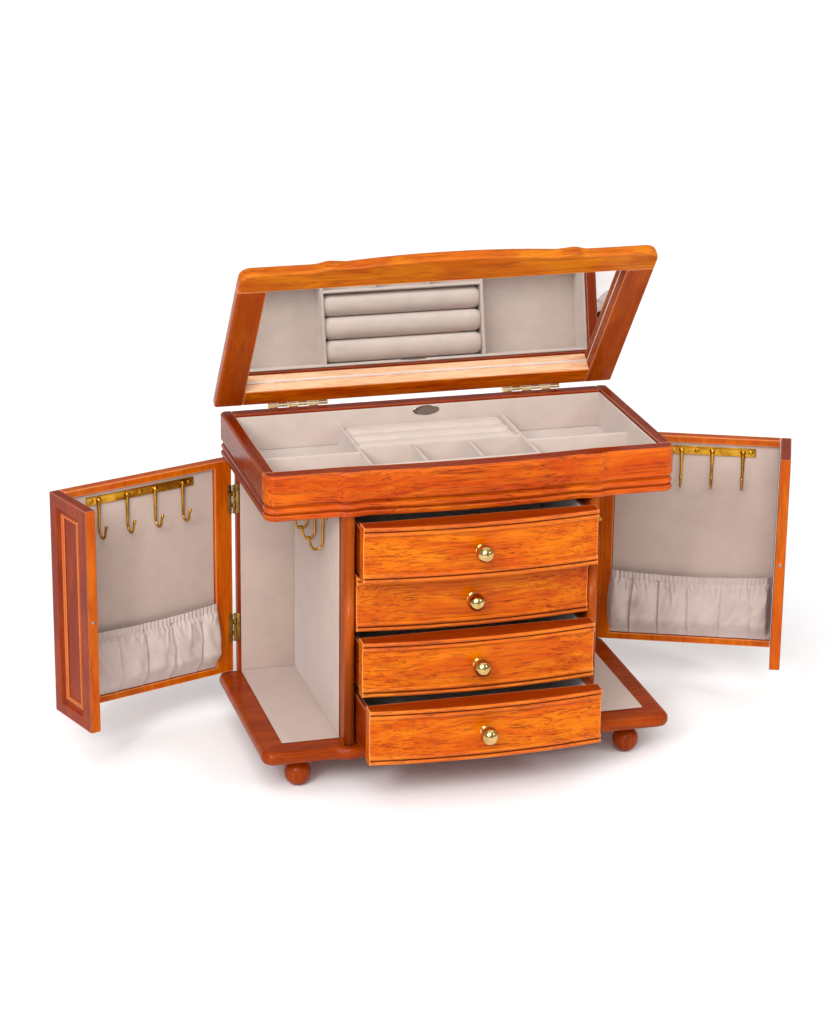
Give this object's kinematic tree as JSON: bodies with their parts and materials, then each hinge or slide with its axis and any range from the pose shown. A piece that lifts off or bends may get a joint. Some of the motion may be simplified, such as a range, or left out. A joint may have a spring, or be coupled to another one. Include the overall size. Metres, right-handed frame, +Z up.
{
  "type": "jewelry armoire",
  "caption": "Wooden jewelry armoire on ball feet with a lidded, mirrored tray, swing-out side doors with hooks and pockets, and bow-fronted drawers.",
  "frame": {"origin": "centre of the underside of the base board, between the feet", "axes": "+X the object's right side as seen from the front, +Y the back, +Z up"},
  "size_m": [0.7172, 0.2867, 0.4768],
  "materials": {
    "oak_veneer": "glossy orange-brown oak veneer",
    "dark_oak": "glossy darker stained oak",
    "greige_suede": "greige suede-like lining",
    "gathered_satin": "gathered greige fabric",
    "brass": "polished",
    "mirror": "silvered glass"
  },
  "bodies": {
    "case": {"base_board": "dark_oak", "foot_front_left": "dark_oak", "foot_front_right": "dark_oak", "foot_back_left": "dark_oak", "foot_back_right": "dark_oak", "back_panel": "dark_oak", "case_side_left": "oak_veneer", "compartment_lining_left": "greige_suede", "wall_rack_left": "brass", "case_side_right": "oak_veneer", "compartment_lining_right": "greige_suede", "wall_rack_right": "brass", "drawer_shelves": "dark_oak", "tray_front": "oak_veneer", "tray_left": "dark_oak", "tray_right": "dark_oak", "tray_back": "oak_veneer", "tray_bottom": "greige_suede", "tray_insert": "greige_suede", "ring_rolls": "greige_suede", "lid_hinge_left_tray": "brass", "left_door_hinge_lower_case": "brass", "left_door_hinge_upper_case": "brass", "lid_hinge_right_tray": "brass", "right_door_hinge_lower_case": "brass", "right_door_hinge_upper_case": "brass"},
    "lid": {"lid_front_rail": "oak_veneer", "lid_stile_left": "oak_veneer", "lid_stile_right": "oak_veneer", "lid_back_rail": "oak_veneer", "lid_panel": "oak_veneer", "lid_mirror": "mirror", "lid_hinge_left_lid": "brass", "lid_hinge_right_lid": "brass"},
    "left_door": {"left_door_shell": "oak_veneer", "left_door_return": "oak_veneer", "left_door_lining": "greige_suede", "left_door_pocket": "gathered_satin", "left_door_rack": "brass", "left_door_hinge_lower_door": "brass", "left_door_hinge_upper_door": "brass"},
    "right_door": {"right_door_shell": "oak_veneer", "right_door_return": "oak_veneer", "right_door_lining": "greige_suede", "right_door_pocket": "gathered_satin", "right_door_rack": "brass", "right_door_hinge_lower_door": "brass", "right_door_hinge_upper_door": "brass"},
    "drawer_1": {"drawer_1_front": "oak_veneer", "drawer_1_box": "dark_oak", "drawer_1_knob": "brass"},
    "drawer_2": {"drawer_2_front": "oak_veneer", "drawer_2_box": "dark_oak", "drawer_2_knob": "brass"},
    "drawer_3": {"drawer_3_front": "oak_veneer", "drawer_3_box": "dark_oak", "drawer_3_knob": "brass"},
    "drawer_4": {"drawer_4_front": "oak_veneer", "drawer_4_box": "dark_oak", "drawer_4_knob": "brass"}
  },
  "joints": [
    {"name": "lid_hinge", "type": "hinge", "parent": "case", "child": "lid", "pos_m": [0, 0.103, 0.276], "axis": [-1, 0, 0], "range_deg": [-51.7, 43.3]},
    {"name": "left_door_hinge", "type": "hinge", "parent": "case", "child": "left_door", "pos_m": [-0.1788, 0.093, 0.12], "axis": [0, 0, -1], "range_deg": [-70.5, 19.5]},
    {"name": "right_door_hinge", "type": "hinge", "parent": "case", "child": "right_door", "pos_m": [0.1788, 0.093, 0.12], "axis": [0, 0, 1], "range_deg": [-67.5, 22.5]},
    {"name": "drawer_1_slide", "type": "slide", "parent": "case", "child": "drawer_1", "axis": [0, -1, 0], "range_m": [-0.0244, 0.1056]},
    {"name": "drawer_2_slide", "type": "slide", "parent": "case", "child": "drawer_2", "axis": [0, -1, 0], "range_m": [0, 0.13]},
    {"name": "drawer_3_slide", "type": "slide", "parent": "case", "child": "drawer_3", "axis": [0, -1, 0], "range_m": [-0.0223, 0.1077]},
    {"name": "drawer_4_slide", "type": "slide", "parent": "case", "child": "drawer_4", "axis": [0, -1, 0], "range_m": [-0.0488, 0.0812]}
  ]
}
